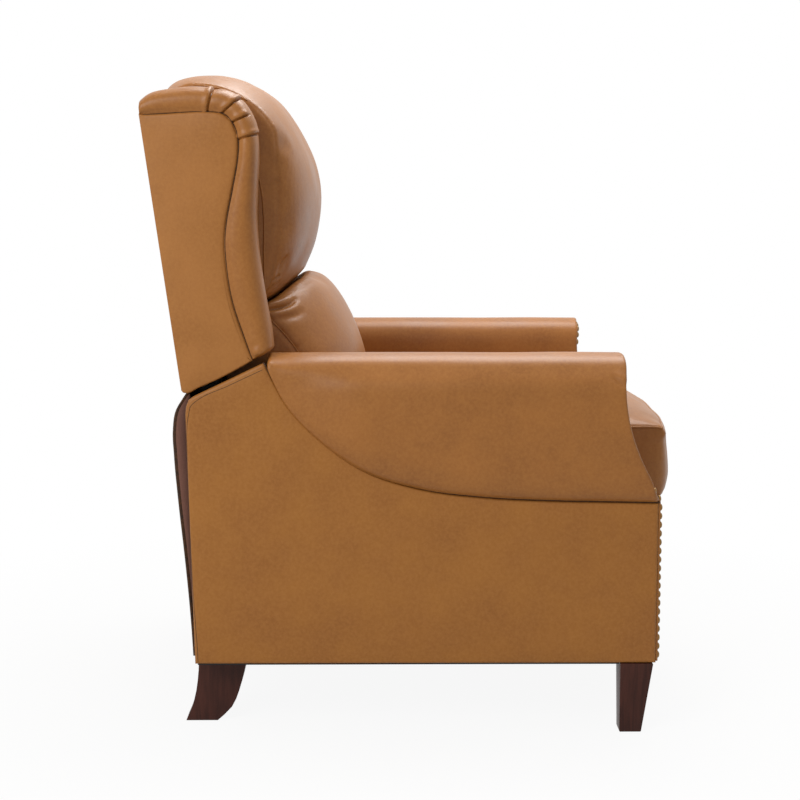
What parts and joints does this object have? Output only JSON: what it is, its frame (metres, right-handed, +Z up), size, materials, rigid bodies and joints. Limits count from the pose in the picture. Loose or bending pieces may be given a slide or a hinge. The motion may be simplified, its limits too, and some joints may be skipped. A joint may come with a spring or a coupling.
{
  "type": "wingback recliner",
  "caption": "Leather press-back recliner with rolled side wings, head and lumbar pillows, scroll arms, nail trim and a swing-out footrest.",
  "frame": {"origin": "on the floor, under the middle of the chair's box", "axes": "+Z up, -Y is the way the sitter faces, +X is the sitter's left"},
  "size_m": [0.786, 0.8688, 1.064],
  "materials": {
    "leather": "satin saddle-tan leather over board",
    "upholstery": "satin saddle-tan leather over foam and fibre",
    "frame_wood": "raw hardwood and plywood",
    "leg_wood": "dark walnut-stained, satin lacquer",
    "steel": "dark powder-coated steel",
    "nails": "antiqued brass",
    "dust_cloth": "black non-woven cloth"
  },
  "bodies": {
    "base": {"side_cover_left": "leather", "side_cover_right": "leather", "inner_side_panel_left": "frame_wood", "inner_side_panel_right": "frame_wood", "front_post_left": "frame_wood", "front_post_right": "frame_wood", "rear_post_left": "frame_wood", "rear_post_right": "frame_wood", "front_stretcher": "frame_wood", "rear_rail": "frame_wood", "dust_cover": "dust_cloth", "arm_pad_left": "upholstery", "arm_pad_right": "upholstery", "arm_front_panel_left": "leather", "arm_front_panel_right": "leather", "nail_trim_left": "nails", "nail_trim_right": "nails", "front_leg_left": "leg_wood", "front_leg_right": "leg_wood", "rear_leg_left": "leg_wood", "rear_leg_right": "leg_wood", "lower_back_flap": "leather", "seat_track_left": "steel", "seat_track_right": "steel"},
    "seat": {"seat_side_rail_left": "frame_wood", "seat_side_rail_right": "frame_wood", "seat_front_rail": "frame_wood", "seat_rear_rail": "frame_wood", "seat_springs": "steel", "seat_cushion": "upholstery", "mechanism_plate_left": "steel", "mechanism_plate_right": "steel"},
    "back": {"back_upright_left": "frame_wood", "back_upright_right": "frame_wood", "back_top_rail": "frame_wood", "back_bottom_rail": "frame_wood", "outside_back_cover": "leather", "wing_cover_left": "upholstery", "wing_cover_right": "upholstery", "wing_roll_left": "upholstery", "wing_roll_right": "upholstery", "head_pillow": "upholstery", "lumbar_pillow": "upholstery", "back_hinge_bracket_left": "steel", "back_hinge_bracket_right": "steel"},
    "seat_links": {"seat_link_left": "steel", "seat_link_right": "steel"},
    "front_links": {"front_link_left": "steel", "front_link_right": "steel"},
    "rear_links": {"rear_link_left": "steel", "rear_link_right": "steel"},
    "cross_links": {"cross_link_left": "steel", "cross_link_right": "steel"},
    "outer_links": {"outer_link_left": "steel", "outer_link_right": "steel"},
    "footrest": {"footrest_board": "frame_wood", "footrest_pad": "upholstery", "footrest_bracket_left": "steel", "footrest_bracket_right": "steel"}
  },
  "joints": [
    {"name": "back_recline", "type": "hinge", "parent": "base", "child": "back", "pos_m": [0, 0.245, 0.395], "axis": [-1, 0, 0], "range_deg": [0, 40], "deforming": ["lower_back_flap"]},
    {"name": "seat_slide", "type": "slide", "parent": "base", "child": "seat", "axis": [0, -1, 0], "range_m": [0, 0.0302]},
    {"name": "seat_link_turn", "type": "hinge", "parent": "seat", "child": "seat_links", "pos_m": [0, 0.15, 0.366], "axis": [-1, 0, 0], "range_deg": [-6.4, 0]},
    {"name": "footrest_extend", "type": "hinge", "parent": "seat", "child": "front_links", "pos_m": [0, -0.269, 0.346], "axis": [-1, 0, 0], "range_deg": [0, 94.5]},
    {"name": "rear_link_turn", "type": "hinge", "parent": "seat", "child": "rear_links", "pos_m": [0, -0.23234, 0.323], "axis": [-1, 0, 0], "range_deg": [0, 90.85]},
    {"name": "cross_link_turn", "type": "hinge", "parent": "front_links", "child": "cross_links", "pos_m": [0, -0.22172, 0.20049], "axis": [-1, 0, 0], "range_deg": [-100.7, 0]},
    {"name": "outer_link_turn", "type": "hinge", "parent": "front_links", "child": "outer_links", "pos_m": [0, -0.20967, 0.1634], "axis": [-1, 0, 0], "range_deg": [-94.35, 0]},
    {"name": "footrest_turn", "type": "hinge", "parent": "cross_links", "child": "footrest", "pos_m": [0, -0.32, 0.29594], "axis": [-1, 0, 0], "range_deg": [0, 95.4]}
  ],
  "couplings": [
    {"joint": "seat_slide", "follows": "back_recline", "m_per_rad": 0.04313},
    {"joint": "seat_link_turn", "follows": "back_recline", "ratio": -0.15762},
    {"joint": "rear_link_turn", "follows": "footrest_extend", "ratio": 0.96104},
    {"joint": "cross_link_turn", "follows": "footrest_extend", "ratio": -1.0652},
    {"joint": "outer_link_turn", "follows": "footrest_extend", "ratio": -0.99804},
    {"joint": "footrest_turn", "follows": "footrest_extend", "ratio": 1.0092}
  ]
}
